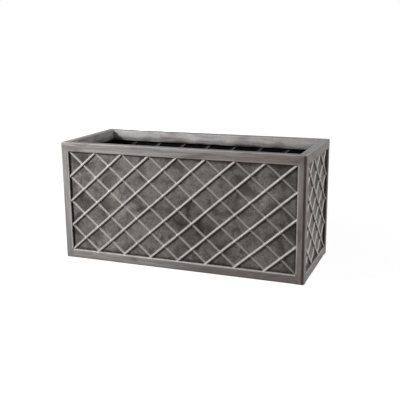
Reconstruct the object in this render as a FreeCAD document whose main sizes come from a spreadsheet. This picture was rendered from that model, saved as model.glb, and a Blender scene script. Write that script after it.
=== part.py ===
import FreeCAD, Part
import os
import re
import Sketcher

# Trough planter: four corner posts, mitred rim rails and bottom rails hold four recessed
# panels, each dressed with a diagonal lattice of bars, and a drained floor on bearers.
# Origin at the bottom centre, X along the length, the front faces -Y, Z up.

DRIVING = {
    # whole trough
    "length": 700,
    "depth": 291,
    "height": 335,
    # visible frame
    "post_face": 22.6,
    "top_rail_face": 25.6,
    "bottom_rail_face": 24.4,
    "recess": 7,
    "corner_radius": 5,
    "edge_radius": 1.2,
    "rim_radius": 2.5,
    # rim section behind its face
    "rim_thickness": 3,
    "channel_width": 7.6,
    "lip_thickness": 2.2,
    "lip_height": 31,
    # panels and the grooves that hold them
    "panel_thickness": 3,
    "groove_clearance": 0.1,
    "groove_wall": 3,
    "groove_web": 4.5,
    "groove_stop": 3,
    "rail_groove_depth": 8,
    "end_clearance": 0.2,
    # keys across the rim mitres
    "key_arm": 45,
    "key_height": 12,
    "key_clearance": 0.15,
    # floor, its ledge and its bearers
    "bottom_rail_depth": 22,
    "ledge_height": 12,
    "ledge_setback": 2,
    "floor_thickness": 4,
    "floor_clearance": 0.3,
    "drain_diameter": 12,
    "drain_columns": 6,
    "drain_rows": 2,
    "bearer_width": 36,
    "bearer_top": 5,
    "bearer_wall": 3,
    "bearer_clearance": 0.3,
    # countersunk floor screws
    "screw_diameter": 4,
    "screw_head_diameter": 8,
    "screw_length": 16,
    "screw_inset": 40,
    "screw_clearance": 0.15,
    # lattice of diagonal bars, with a boss on every crossing
    "long_cells": 8,
    "end_cells": 3,
    "high_cells": 4,
    "lattice_side_inset": 1.5,
    "lattice_end_inset": 0.6,
    "over_bar_width": 7.2,
    "under_bar_width": 5.6,
    "under_bar_height": 2.6,
    "crossing_bridge": 2,
    "crossing_clearance": 0.1,
    "boss_diameter": 9.6,
    "boss_rise": 1,
    "shank_diameter": 2.2,
    "strip_width": 8,
    "strip_thickness": 1.6,
    "tail_diameter": 5.2,
    "tail_rise": 0.8,
    # how far cutting shapes run past what they cut
    "overrun": 20,
}

DERIVED = {
    "groove_near": "recess - groove_clearance",
    "groove_far": "recess + panel_thickness + groove_clearance",
    "post_wall": "groove_far + groove_wall",
    "groove_depth": "post_face - groove_far - groove_web",
    "rim_width": "post_wall + channel_width + lip_thickness",
    "opening_low": "bottom_rail_face",
    "opening_high": "height - top_rail_face",
    "long_opening": "length - 2 * post_face",
    "end_opening": "depth - 2 * post_face",
    "ledge_start": "post_wall + ledge_setback",
    "floor_length": "length - 2 * (ledge_start + floor_clearance)",
    "floor_depth": "depth - 2 * (ledge_start + floor_clearance)",
    "drain_step": "floor_length / drain_columns",
    "drain_row_step": "floor_depth / drain_rows",
    "bearer_length": "depth - 2 * (bottom_rail_depth + bearer_clearance)",
    "screw_reach": "bearer_length / 2 - screw_inset",
    "screw_hole": "screw_diameter / 2 + screw_clearance",
    "over_bar_height": "under_bar_height + crossing_bridge",
    "boss_height": "over_bar_height + boss_rise",
    "shank_hole": "shank_diameter / 2 + crossing_clearance",
    "long_pitch": "(long_opening - 2 * lattice_side_inset) / long_cells",
    "end_pitch": "(end_opening - 2 * lattice_side_inset) / end_cells",
    "high_pitch": "(opening_high - opening_low - 2 * lattice_end_inset) / high_cells",
    "lattice_low": "opening_low + lattice_end_inset",
    "back_face": "panel_thickness + strip_thickness",
}

# A face of the trough: turn about Z, unit direction outwards, names of its own sizes
FACES = {
    "front": (0, (0, -1), "length", "depth", "long"),
    "right": (90, (1, 0), "depth", "length", "end"),
    "back": (180, (0, 1), "length", "depth", "long"),
    "left": (270, (-1, 0), "depth", "length", "end"),
}

# A corner of the trough: turn about Z and signs of its place
CORNERS = {
    "front_left": (0, (-1, -1)),
    "front_right": (90, (1, -1)),
    "back_right": (180, (1, 1)),
    "back_left": (270, (-1, 1)),
}

# Lean of the lattice bars that lie on top, going up and seen from outside: 1 to the right
OVER_LEAN = {"long": 1, "end": -1}

NEAR = 1e-6
UP = FreeCAD.Vector(0, 0, 1)
INWARD = FreeCAD.Vector(0, 1, 0)

doc = FreeCAD.newDocument("TroughPlanter")
sheet = doc.addObject("Spreadsheet::Sheet", "Sizes")
subparts = []


def fill_sheet():
    rows = [(name, str(number)) for name, number in DRIVING.items()]
    rows += [(name, "=" + formula) for name, formula in DERIVED.items()]
    for row, (name, content) in enumerate(rows, start=1):
        sheet.set("A%d" % row, name)
        sheet.set("B%d" % row, content)
        sheet.setAlias("B%d" % row, name)
    doc.recompute()


# The number that an expression of sheet names gives
def size(expression):
    return float(sheet.evalExpression(expression))


# The same expression as other objects read it from the sheet
def bound(expression):
    return re.sub(r"\b([a-z_]\w*)", r"Sizes.\1", expression)


def new_body(name):
    body = doc.addObject("PartDesign::Body", name)
    body.Label = name
    subparts.append(body)
    return body


def new_shape(name, shape):
    feature = doc.addObject("Part::Feature", name)
    feature.Label = name
    feature.Shape = shape
    subparts.append(feature)
    return feature


def place(item, turn, across, along, lift="0"):
    item.Placement = FreeCAD.Placement(FreeCAD.Vector(), FreeCAD.Rotation(UP, turn))
    for axis, expression in zip("xyz", (across, along, lift)):
        item.setExpression("Placement.Base." + axis, bound(expression))


# Puts a piece drawn at an outer face, inwards along +Y, on one face of the trough
def place_on_face(item, face, inset="0", lift="0"):
    turn, (right, back), _, reach, _ = FACES[face]
    out = "(%s / 2 - %s)" % (reach, inset)
    place(item, turn, "%d * %s" % (right, out), "%d * %s" % (back, out), lift)


# Puts a piece drawn from an outer corner, inwards along +X and +Y, on one corner
def place_on_corner(item, corner, lift="0"):
    turn, (right, back) = CORNERS[corner]
    place(item, turn, "%d * length / 2" % right, "%d * depth / 2" % back, lift)


def new_sketch(body, role, lift="0"):
    sketch = body.newObject("Sketcher::SketchObject", body.Name + "_sketch")
    plane = next(item for item in body.Origin.OriginFeatures if item.Role == role)
    sketch.AttachmentSupport = [(plane, "")]
    sketch.MapMode = "FlatFace"
    sketch.setExpression("AttachmentOffset.Base.z", bound(lift))
    return sketch


def fix_point(sketch, edge, end, spot):
    for kind, expression in zip(("DistanceX", "DistanceY"), spot):
        rule = Sketcher.Constraint(kind, -1, 1, edge, end, size(expression))
        number = sketch.addConstraint(rule)
        sketch.setExpression("Constraints[%d]" % number, bound(expression))


def draw_outline(sketch, corners):
    points = [FreeCAD.Vector(size(x), size(y), 0) for x, y in corners]
    first = sketch.GeometryCount
    following = [(n + 1) % len(points) for n in range(len(points))]
    for n, after in enumerate(following):
        sketch.addGeometry(Part.LineSegment(points[n], points[after]))
    for n, after in enumerate(following):
        sketch.addConstraint(Sketcher.Constraint("Coincident", first + n, 2, first + after, 1))
    for n, corner in enumerate(corners):
        fix_point(sketch, first + n, 1, corner)


def draw_box(sketch, low, high):
    (left, bottom), (right, top) = low, high
    draw_outline(sketch, [(left, bottom), (right, bottom), (right, top), (left, top)])


def draw_circle(sketch, centre, radius):
    middle = FreeCAD.Vector(size(centre[0]), size(centre[1]), 0)
    edge = sketch.addGeometry(Part.Circle(middle, UP, size(radius)))
    fix_point(sketch, edge, 3, centre)
    number = sketch.addConstraint(Sketcher.Constraint("Radius", edge, size(radius)))
    sketch.setExpression("Constraints[%d]" % number, bound(radius))


def pad(body, sketch, length, side="One side", backwards=False):
    feature = body.newObject("PartDesign::Pad", body.Name + "_pad")
    feature.Profile = sketch
    feature.SideType = side
    feature.Reversed = backwards
    feature.setExpression("Length", bound(length))
    return feature


# Cuts the sketch right through, both ways from its plane
def cut_through(body, sketch):
    feature = body.newObject("PartDesign::Pocket", body.Name + "_cut")
    feature.Profile = sketch
    feature.SideType = "Symmetric"
    feature.Type = "ThroughAll"
    return feature


def pick_edges(feature, wanted):
    doc.recompute()
    edges = enumerate(feature.Shape.Edges, start=1)
    return ["Edge%d" % number for number, edge in edges if wanted(edge.BoundBox)]


def round_edges(body, feature, radius, wanted):
    fillet = body.newObject("PartDesign::Fillet", body.Name + "_round")
    fillet.Base = (feature, pick_edges(feature, wanted))
    fillet.setExpression("Radius", bound(radius))
    return fillet


def chamfer_edges(body, feature, width, wanted):
    chamfer = body.newObject("PartDesign::Chamfer", body.Name + "_sink")
    chamfer.Base = (feature, pick_edges(feature, wanted))
    chamfer.setExpression("Size", bound(width))
    return chamfer


def same(number, expression):
    return abs(number - size(expression)) < NEAR


# Corner post: an angle whose two legs are grooved for the panels, with an L-shaped tongue
# on top that enters the grooves of both rim rails
def make_post(corner):
    body = new_body(corner + "_post")
    section = new_sketch(body, "XY_Plane")
    draw_outline(section, [
        ("0", "0"),
        ("post_face", "0"),
        ("post_face", "post_wall"),
        ("post_wall", "post_wall"),
        ("post_wall", "post_face"),
        ("0", "post_face"),
    ])
    leg = pad(body, section, "opening_high")
    outer = round_edges(body, leg, "corner_radius", lambda box: box.XMax < NEAR and box.YMax < NEAR)
    round_edges(
        body, outer, "edge_radius",
        lambda box: box.ZLength > NEAR and box.XLength + box.YLength < NEAR
        and (same(box.XMax, "post_face") and box.YMax < NEAR
             or same(box.YMax, "post_face") and box.XMax < NEAR))
    grooves = new_sketch(body, "XY_Plane", "groove_stop")
    inner = "post_face - groove_depth"
    outside = "post_face + overrun"
    draw_box(grooves, (inner, "groove_near"), (outside, "groove_far"))
    draw_box(grooves, ("groove_near", inner), ("groove_far", outside))
    pocket = body.newObject("PartDesign::Pocket", body.Name + "_grooves")
    pocket.Profile = grooves
    pocket.Type = "ThroughAll"
    pocket.Reversed = True
    tongue = new_sketch(body, "XY_Plane", "opening_high")
    tip = "post_face - groove_depth - end_clearance"
    far = "recess + panel_thickness"
    draw_outline(tongue, [
        ("recess", "recess"),
        (tip, "recess"),
        (tip, far),
        (far, far),
        (far, tip),
        ("recess", tip),
    ])
    pad(body, tongue, "rail_groove_depth - end_clearance")
    place_on_corner(body, corner)


# Rim rail: a grooved outer face, a top and an inner lip round a hollow channel, mitred at
# both ends on the trough's rounded corners
def make_top_rail(face):
    span = FACES[face][2]
    body = new_body(face + "_top_rail")
    section = new_sketch(body, "YZ_Plane")
    groove_top = "opening_high + rail_groove_depth"
    lip = "rim_width - lip_thickness"
    draw_outline(section, [
        ("0", "opening_high"),
        ("groove_near", "opening_high"),
        ("groove_near", groove_top),
        ("groove_far", groove_top),
        ("groove_far", "opening_high"),
        ("post_wall", "opening_high"),
        ("post_wall", "height - rim_thickness"),
        (lip, "height - rim_thickness"),
        (lip, "height - lip_height"),
        ("rim_width", "height - lip_height"),
        ("rim_width", "height"),
        ("0", "height"),
    ])
    bar = pad(body, section, span, "Symmetric")
    ends = round_edges(
        body, bar, "corner_radius",
        lambda box: box.YMax < NEAR and box.XLength < NEAR)
    top = round_edges(
        body, ends, "rim_radius",
        lambda box: same(box.ZMin, "height") and box.YMin < size("rim_width") - NEAR)
    round_edges(
        body, top, "edge_radius",
        lambda box: box.YMax < NEAR and same(box.ZMax, "opening_high")
        or same(box.YMin, "rim_width") and box.ZLength < NEAR and box.XLength > NEAR)
    mitres = new_sketch(body, "XY_Plane")
    for sign in (-1, 1):
        end = "%d * %s / 2" % (sign, span)
        beyond = "%s + %d * overrun" % (end, sign)
        inside = "%s - %d * (rim_width + overrun)" % (end, sign)
        draw_outline(mitres, [
            (beyond, "-overrun"),
            (inside, "rim_width + overrun"),
            (beyond, "rim_width + overrun"),
        ])
    cut_through(body, mitres)
    place_on_face(body, face)


# Bottom rail: grooved on top for the panel, stepped inside for the floor, with a tongue at
# each end that slides down the posts' grooves
def make_bottom_rail(face):
    span = FACES[face][2]
    body = new_body(face + "_bottom_rail")
    section = new_sketch(body, "YZ_Plane")
    groove_bottom = "opening_low - rail_groove_depth"
    draw_outline(section, [
        ("0", "0"),
        ("bottom_rail_depth", "0"),
        ("bottom_rail_depth", "ledge_height"),
        ("ledge_start", "ledge_height"),
        ("ledge_start", "opening_low"),
        ("groove_far", "opening_low"),
        ("groove_far", groove_bottom),
        ("groove_near", groove_bottom),
        ("groove_near", "opening_low"),
        ("0", "opening_low"),
    ])
    bar = pad(body, section, span + " - 2 * post_face", "Symmetric")
    round_edges(body, bar, "edge_radius", lambda box: box.YMax < NEAR and box.ZLength < NEAR)
    tongue = new_sketch(body, "YZ_Plane")
    low = "groove_stop + groove_clearance"
    draw_box(tongue, ("recess", low), ("recess + panel_thickness", groove_bottom))
    pad(body, tongue, span + " - 2 * (post_face - groove_depth + end_clearance)", "Symmetric")
    place_on_face(body, face)


# Crossings of the lattice inside its frame, counted in cells from the lower left node
def crossings(kind):
    across = int(size(kind + "_cells"))
    high = int(size("high_cells"))
    nodes = [(i, j) for i in range(1, across) for j in range(1, high)]
    middles = [(i + 0.5, j + 0.5) for i in range(across) for j in range(high)]
    return nodes + middles


def crossing_spot(kind, column, row):
    across = "(%g - %s_cells / 2) * %s_pitch" % (column, kind, kind)
    return across, "lattice_low + %g * high_pitch" % row


def crossing_point(kind, column, row):
    across, up = crossing_spot(kind, column, row)
    return FreeCAD.Vector(size(across), 0, size(up))


# Panel: a sheet held in grooves on all four edges, drilled at every crossing
def make_panel(face):
    span, kind = FACES[face][2], FACES[face][4]
    body = new_body(face + "_panel")
    outline = new_sketch(body, "XZ_Plane")
    side = "(%s / 2 - post_face + groove_depth - end_clearance)" % span
    draw_box(
        outline,
        ("-" + side, "opening_low - rail_groove_depth"),
        (side, "opening_high + rail_groove_depth - end_clearance"))
    for column, row in crossings(kind):
        draw_circle(outline, crossing_spot(kind, column, row), "shank_hole")
    pad(body, outline, "panel_thickness", backwards=True)
    place_on_face(body, face, "recess")


# One cell's diagonal, leaning right going up for a lean of 1 and left for -1
def diagonal(kind, lean):
    return FreeCAD.Vector(lean * size(kind + "_pitch"), 0, size("high_pitch"))


# A bar carried from one point of the panel's face to another: a round back of a width and
# a height above a flat foot, or a flat strip
def bar_between(start, end, width, rise, base=0, flat=False):
    along = end - start
    side = INWARD.cross(along).normalize() * (width / 2)
    foot = start + INWARD * base
    peak = INWARD * -rise
    left = foot + side
    right = foot - side
    if flat:
        section = Part.makePolygon([left, right, right + peak, left + peak, left])
    else:
        section = Part.Wire([Part.Arc(left, foot + peak, right).toShape(), Part.makeLine(right, left)])
    return Part.Face(section).extrude(along)


# A bar from the lower left node over the lattice's whole height, and past it at both ends
def long_bar(kind, lean, width, rise, base=0, flat=False):
    step = diagonal(kind, lean)
    spare = step * (size("overrun") / step.Length)
    return bar_between(-spare, step * size("high_cells") + spare, width, rise, base, flat)


# Notches where under bars pass through an over bar, at every half cell of its height
def notches(kind):
    gap = size("crossing_clearance")
    width = size("under_bar_width") + 2 * gap
    rise = size("under_bar_height") + gap
    step = diagonal(kind, -OVER_LEAN[kind])
    spare = step * (size("overrun") / step.Length)
    tools = []
    for half in range(2 * int(size("high_cells")) + 1):
        middle = diagonal(kind, OVER_LEAN[kind]) * (half / 2)
        tools.append(bar_between(middle - spare, middle + spare, width, rise))
    return tools


def drill(kind, column, row):
    foot = crossing_point(kind, column, row) - INWARD * size("overrun")
    return Part.makeCylinder(size("shank_hole"), 2 * size("overrun"), foot, INWARD)


# Copies of one long bar, a cell apart, clipped to the frame's opening and drilled at the
# crossings that lie on each
def spread_bars(kind, lean, bar):
    across = int(size(kind + "_cells"))
    high = int(size("high_cells"))
    overrun = size("overrun")
    half = size(kind + "_opening") / 2 - size("end_clearance")
    low = size("opening_low + end_clearance")
    tall = size("opening_high - opening_low - 2 * end_clearance")
    clip = Part.makeBox(2 * half, 2 * overrun, tall, FreeCAD.Vector(-half, -overrun, low))
    first = 1 - high if lean > 0 else 1
    bars = []
    for line in range(first, first + across + high - 1):
        copy = bar.translated(crossing_point(kind, line, 0)).common(clip)
        on_line = [spot for spot in crossings(kind) if spot[0] - lean * spot[1] == line]
        bars += copy.cut([drill(kind, *spot) for spot in on_line]).Solids
    return bars


# Boss on a crossing: a dome that covers both bars, and a shank through the panel and the
# strip behind it, headed over at its tail
def boss(kind):
    gap = size("crossing_clearance")
    rise = size("boss_height")
    radius = size("boss_diameter") / 2
    dome = (radius * radius + rise * rise) / (2 * rise)
    ball = Part.makeSphere(dome, FreeCAD.Vector(0, dome - rise, 0))
    front = Part.makeCylinder(2 * dome, 2 * dome, FreeCAD.Vector(0, -2 * dome, 0), INWARD)
    cap = ball.common(front)
    for lean, bar in ((OVER_LEAN[kind], "over_bar"), (-OVER_LEAN[kind], "under_bar")):
        reach = diagonal(kind, lean).normalize() * (2 * dome)
        width = size(bar + "_width") + 2 * gap
        cap = cap.cut(bar_between(-reach, reach, width, size(bar + "_height") + gap))
    back = size("back_face")
    shank_radius = size("shank_diameter") / 2
    shank = Part.makeCylinder(shank_radius, rise - gap + back, FreeCAD.Vector(0, gap - rise, 0), INWARD)
    tail_foot = FreeCAD.Vector(0, back, 0)
    tail = Part.makeCone(size("tail_diameter") / 2, shank_radius, size("tail_rise"), tail_foot, INWARD)
    return cap.multiFuse([shank, tail]).removeSplitter()


# Lattice of one kind of face: over bars are notched over the under bars, which lean the
# other way; flat strips back the under bars inside the panel
def lattice(kind):
    lean = OVER_LEAN[kind]
    over = long_bar(kind, lean, size("over_bar_width"), size("over_bar_height")).cut(notches(kind))
    under = long_bar(kind, -lean, size("under_bar_width"), size("under_bar_height"))
    strip = long_bar(kind, -lean, size("strip_width"), size("strip_thickness"), size("back_face"), flat=True)
    crossing_boss = boss(kind)
    return {
        "over_bars": spread_bars(kind, lean, over),
        "under_bars": spread_bars(kind, -lean, under),
        "backing_strips": spread_bars(kind, -lean, strip),
        "lattice_bosses": [crossing_boss.translated(crossing_point(kind, *spot)) for spot in crossings(kind)],
    }


def make_lattices():
    groups = {kind: lattice(kind) for kind in ("long", "end")}
    for face, (_, _, _, _, kind) in FACES.items():
        for name, solids in groups[kind].items():
            place_on_face(new_shape(face + "_" + name, Part.makeCompound(solids)), face, "recess")


# Key: an L that bridges a mitre inside the channels of both rim rails
def make_corner_key(corner):
    body = new_body(corner + "_corner_key")
    outline = new_sketch(body, "XY_Plane")
    near = "post_wall + key_clearance"
    far = "rim_width - lip_thickness - key_clearance"
    tip = near + " + key_arm"
    draw_outline(outline, [(near, near), (tip, near), (tip, far), (far, far), (far, tip), (near, tip)])
    pad(body, outline, "key_height")
    place_on_corner(body, corner, "height - rim_thickness - key_height")


# Lines across the floor, between columns of drain holes, where bearers and screws go
def bearer_lines():
    between = range(1, int(size("drain_columns")), 2)
    return ["(%d - drain_columns / 2) * drain_step" % column for column in between]


# Floor: a plate on the bottom rails' ledges, drained between its bearers
def make_floor():
    body = new_body("floor")
    outline = new_sketch(body, "XY_Plane")
    draw_box(outline, ("-floor_length / 2", "-floor_depth / 2"), ("floor_length / 2", "floor_depth / 2"))
    for column in range(int(size("drain_columns"))):
        for row in range(int(size("drain_rows"))):
            across = "(%g - drain_columns / 2) * drain_step" % (column + 0.5)
            along = "(%g - drain_rows / 2) * drain_row_step" % (row + 0.5)
            draw_circle(outline, (across, along), "drain_diameter / 2")
    for line in bearer_lines():
        for sign in (-1, 1):
            draw_circle(outline, (line, "%d * screw_reach" % sign), "screw_hole")
    plate = pad(body, outline, "floor_thickness")
    chamfer_edges(
        body, plate, "(screw_head_diameter - screw_diameter) / 2",
        lambda box: same(box.ZMin, "floor_thickness") and same(box.XLength, "2 * screw_hole"))
    place(body, 0, "0", "0", "ledge_height")


# Bearer: an upturned channel across the trough that carries the floor on the ground
def make_bearer(name, line):
    body = new_body(name)
    section = new_sketch(body, "XZ_Plane")
    side = "bearer_width / 2"
    hollow = "(bearer_width / 2 - bearer_wall)"
    under = "ledge_height - bearer_top"
    draw_outline(section, [
        ("-" + side, "0"),
        ("-" + hollow, "0"),
        ("-" + hollow, under),
        (hollow, under),
        (hollow, "0"),
        (side, "0"),
        (side, "ledge_height"),
        ("-" + side, "ledge_height"),
    ])
    pad(body, section, "bearer_length", "Symmetric")
    holes = new_sketch(body, "XY_Plane")
    for sign in (-1, 1):
        draw_circle(holes, ("0", "%d * screw_reach" % sign), "screw_hole")
    cut_through(body, holes)
    place(body, 0, line, "0")


# Floor screws: countersunk flush with the floor
def make_floor_screws():
    shank = size("screw_diameter") / 2
    head = size("screw_head_diameter") / 2
    length = size("screw_length")
    top = size("ledge_height + floor_thickness")
    cone = Part.makeCone(shank, head, head - shank, FreeCAD.Vector(0, 0, shank - head))
    stem = Part.makeCylinder(shank, length, FreeCAD.Vector(0, 0, -length))
    screw = cone.fuse(stem).removeSplitter()
    screws = []
    for line in bearer_lines():
        for sign in (-1, 1):
            spot = FreeCAD.Vector(size(line), sign * size("screw_reach"), top)
            screws.append(screw.translated(spot))
    new_shape("floor_screws", Part.makeCompound(screws))


def check_and_write():
    doc.recompute()
    for item in doc.Objects:
        if "Invalid" in item.State or "Error" in item.State:
            raise RuntimeError("%s did not build: %s" % (item.Label, item.State))
    for item in subparts:
        if item.Shape.isNull() or not item.Shape.isValid():
            raise RuntimeError("%s has no valid shape" % item.Label)
    os.makedirs("parts", exist_ok=True)
    for item in subparts:
        item.Shape.exportStep("parts/%s.step" % item.Label)
        print("%s: %d solid(s), %.1f cm3" % (item.Label, len(item.Shape.Solids), item.Shape.Volume / 1000))


fill_sheet()
for corner in CORNERS:
    make_post(corner)
    make_corner_key(corner)
for face in FACES:
    make_top_rail(face)
    make_bottom_rail(face)
    make_panel(face)
make_lattices()
make_floor()
for number, line in enumerate(bearer_lines(), start=1):
    make_bearer("floor_bearer_%d" % number, line)
make_floor_screws()
check_and_write()
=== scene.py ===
import math

import bpy
import numpy as np
from mathutils import Matrix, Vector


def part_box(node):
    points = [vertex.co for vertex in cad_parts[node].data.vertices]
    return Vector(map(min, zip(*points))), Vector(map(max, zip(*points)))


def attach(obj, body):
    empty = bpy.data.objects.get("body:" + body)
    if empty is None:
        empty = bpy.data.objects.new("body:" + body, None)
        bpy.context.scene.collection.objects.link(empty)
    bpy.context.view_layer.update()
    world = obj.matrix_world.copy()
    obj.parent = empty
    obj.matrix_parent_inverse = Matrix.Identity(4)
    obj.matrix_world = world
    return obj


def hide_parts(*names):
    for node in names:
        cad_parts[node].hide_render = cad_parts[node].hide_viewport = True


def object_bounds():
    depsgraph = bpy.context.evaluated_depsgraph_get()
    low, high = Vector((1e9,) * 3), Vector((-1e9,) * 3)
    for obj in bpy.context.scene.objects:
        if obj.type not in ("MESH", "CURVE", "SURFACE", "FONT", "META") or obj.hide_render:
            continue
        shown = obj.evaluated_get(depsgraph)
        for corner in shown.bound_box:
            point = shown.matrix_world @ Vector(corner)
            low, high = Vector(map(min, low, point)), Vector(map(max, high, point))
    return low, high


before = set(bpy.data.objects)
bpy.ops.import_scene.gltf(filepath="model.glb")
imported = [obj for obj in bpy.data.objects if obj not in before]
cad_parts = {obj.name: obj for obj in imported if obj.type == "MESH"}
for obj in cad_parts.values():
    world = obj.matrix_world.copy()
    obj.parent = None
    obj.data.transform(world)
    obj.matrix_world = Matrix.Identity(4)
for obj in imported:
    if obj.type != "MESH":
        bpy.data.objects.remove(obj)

# Trough planter with a diamond lattice: sizes in millimetres, meshes in metres
mm = 0.001
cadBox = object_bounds()
sharpAngle = math.radians(38)


def boxOf(node):
    low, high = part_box(node)
    return np.array(low) / mm, np.array(high) / mm


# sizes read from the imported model
length, depth, height = (np.array(cadBox[1]) - np.array(cadBox[0])) / mm
postBox = boxOf("front_left_post")
rimBox = boxOf("front_top_rail")
footBox = boxOf("front_bottom_rail")
panelBox = boxOf("front_panel")
barBox = boxOf("front_over_bars")
postFace = postBox[1][0] - postBox[0][0]
rimWidth = rimBox[1][1] - rimBox[0][1]
lipHeight = rimBox[1][2] - rimBox[0][2]
footFace = footBox[1][2]
footDepth = footBox[1][1] - footBox[0][1]
recess = panelBox[0][1] - postBox[0][1]
panelThickness = panelBox[1][1] - panelBox[0][1]
barGap = footFace - barBox[0][2]  # negative: bars stop short of the rails
openLow = footFace
openHigh = barBox[1][2] - barGap
panelReach = -panelBox[0][0] - (length / 2 - postFace)  # how far a panel enters its grooves

# side of the trough: turn about Z, own width, distance between it and the opposite side
sides = {
    "front": (0.0, length, depth),
    "right": (math.pi / 2, depth, length),
    "back": (math.pi, length, depth),
    "left": (-math.pi / 2, depth, length),
}
cornerTurns = {
    "front_left": 0.0,
    "front_right": math.pi / 2,
    "back_right": math.pi,
    "back_left": -math.pi / 2,
}
sideCorners = {
    "front": ("front_left", "front_right"),
    "right": ("front_right", "back_right"),
    "back": ("back_right", "back_left"),
    "left": ("back_left", "front_left"),
}


# A point of a side (along it, inwards from its face, up), turned about Z into the room
def onSide(side, along, inwards, up):
    turn, _, reach = sides[side]
    along, out, up = np.broadcast_arrays(along, inwards - reach / 2, up)
    c, s = math.cos(turn), math.sin(turn)
    return np.stack([c * along - s * out, s * along + c * out, up], axis=-1)


# Share of the way from start to end, eased at both ends
def eased(value, start, end):
    share = np.clip((value - start) / (end - start), 0, 1)
    return share * share * (3 - 2 * share)


# Slow unevenness of a hand-made surface, 0 to 1: three sine waves of unrelated lengths added
def unevenness(along, across, phase):
    waves = np.sin(along / 31 + phase)
    waves = waves + np.sin(along / 17 + across / 23 + 2.1 * phase)
    waves = waves + np.sin(across / 41 - along / 67 + 3.7 * phase)
    return 0.5 + waves / 6


# Outline with rounded corners: a corner (x, y, radius, rub and shade, inner) becomes a quarter
# circle from one side to the next, with a point further along each side where its rub and shade
# have faded out; a rub and shade of two numbers goes from the first to the second along the quarter
# circle
def roundedOutline(corners, fade, steps=4):
    spots = np.array([corner[:2] for corner in corners], float)
    angles = np.linspace(0, math.pi / 2, steps + 1)[:, None]
    points, marks = [], []
    for n, (_, _, radius, rubs, inner) in enumerate(corners):
        here, before, after = spots[n], spots[n - 1], spots[(n + 1) % len(spots)]
        if radius == 0:
            points.append(here[None])
            marks.append([[rubs, inner]])
            continue
        rubs = np.linspace(*rubs, steps + 1) if isinstance(rubs, tuple) else np.full(steps + 1, rubs)
        sizes = [np.linalg.norm(other - here) for other in (before, after)]
        back, on = (before - here) / sizes[0], (after - here) / sizes[1]
        arc = here + radius * (back + on) - radius * (np.cos(angles) * on + np.sin(angles) * back)
        fades = [min(radius + fade, size / 2) for size in sizes]
        points += [(here + fades[0] * back)[None], arc, (here + fades[1] * on)[None]]
        marks += [[[0, inner]], [[rubAndShade, inner] for rubAndShade in rubs], [[0, inner]]]
    return np.concatenate(points), np.concatenate(marks)


# Corner and kind as one word: front_left and Post give frontLeftPost
def pieceName(place, kind):
    first, second = place.split("_")
    return first + second.title() + kind


# Quads between neighbouring rows and columns of a grid; a wrapped grid joins last to first
def gridQuads(rows, columns, wrapped, start=0):
    numbers = np.arange(rows * columns).reshape(rows, columns) + start
    if wrapped:
        numbers = np.concatenate([numbers, numbers[:, :1]], axis=1)
    quads = [numbers[:-1, :-1], numbers[:-1, 1:], numbers[1:, 1:], numbers[1:, :-1]]
    return np.stack(quads, axis=-1).reshape(-1, 4)


# Solid of a closed profile carried along a path: rings of points, walls between them, two caps
def sweptFaces(rings, start=0):
    rows, columns = rings.shape[:2]
    ring = np.arange(start, start + columns)
    caps = [ring[::-1].tolist(), (ring + (rows - 1) * columns).tolist()]
    return gridQuads(rows, columns, True, start).tolist() + caps


def placed(name, data):
    thing = bpy.data.objects.new(name, data)
    bpy.context.scene.collection.objects.link(thing)
    return thing


def makePiece(name, points, faces, finish, replaced, marks):
    mesh = bpy.data.meshes.new(name)
    mesh.from_pydata(points.reshape(-1, 3) * mm, [], faces)
    mesh.polygons.foreach_set("use_smooth", np.ones(len(mesh.polygons), bool))
    mesh.set_sharp_from_angle(angle=sharpAngle)
    for mark, values in marks.items():
        layer = mesh.attributes.new(mark, "FLOAT", "POINT")
        layer.data.foreach_set("value", np.ascontiguousarray(values, np.float32).ravel())
    mesh.materials.append(finish)
    piece = placed(name, mesh)
    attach(piece, "root")
    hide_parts(replaced)


# Node helpers: a value is either another node's output or a plain number or colour
def plug(tree, socket, value):
    if isinstance(value, bpy.types.NodeSocket):
        tree.links.new(value, socket)
    else:
        socket.default_value = value


def newFinish(name, metallic, specular):
    finish = bpy.data.materials.new(name)
    finish.use_nodes = True
    tree = finish.node_tree
    shader = tree.nodes["Principled BSDF"]
    shader.inputs["Metallic"].default_value = metallic
    shader.inputs["Specular IOR Level"].default_value = specular
    where = tree.nodes.new("ShaderNodeTexCoord").outputs["Object"]
    return finish, tree, shader, where


def stretched(tree, where, scale):
    node = tree.nodes.new("ShaderNodeMapping")
    tree.links.new(where, node.inputs["Vector"])
    node.inputs["Scale"].default_value = scale
    return node.outputs[0]


def moved(tree, where, shift):
    node = tree.nodes.new("ShaderNodeVectorMath")
    node.operation = "ADD"
    tree.links.new(where, node.inputs[0])
    node.inputs[1].default_value = shift
    return node.outputs[0]


def cloud(tree, where, scale, detail, roughness, warp=0):
    node = tree.nodes.new("ShaderNodeTexNoise")
    tree.links.new(where, node.inputs["Vector"])
    node.inputs["Scale"].default_value = scale
    node.inputs["Detail"].default_value = detail
    node.inputs["Roughness"].default_value = roughness
    node.inputs["Distortion"].default_value = warp
    return node.outputs[0]


def ranged(tree, value, low, high, first=0.0, last=1.0):
    node = tree.nodes.new("ShaderNodeMapRange")
    node.interpolation_type = "SMOOTHSTEP"
    for socket, number in zip(node.inputs, (value, low, high, first, last)):
        plug(tree, socket, number)
    return node.outputs[0]


def reckon(tree, operation, first, second=0.0):
    node = tree.nodes.new("ShaderNodeMath")
    node.operation = operation
    plug(tree, node.inputs[0], first)
    plug(tree, node.inputs[1], second)
    return node.outputs[0]


# Two values added, each with its own share
def blended(tree, first, firstShare, second, secondShare):
    parts = [reckon(tree, "MULTIPLY", *part) for part in ((first, firstShare), (second, secondShare))]
    return reckon(tree, "ADD", *parts)


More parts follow.
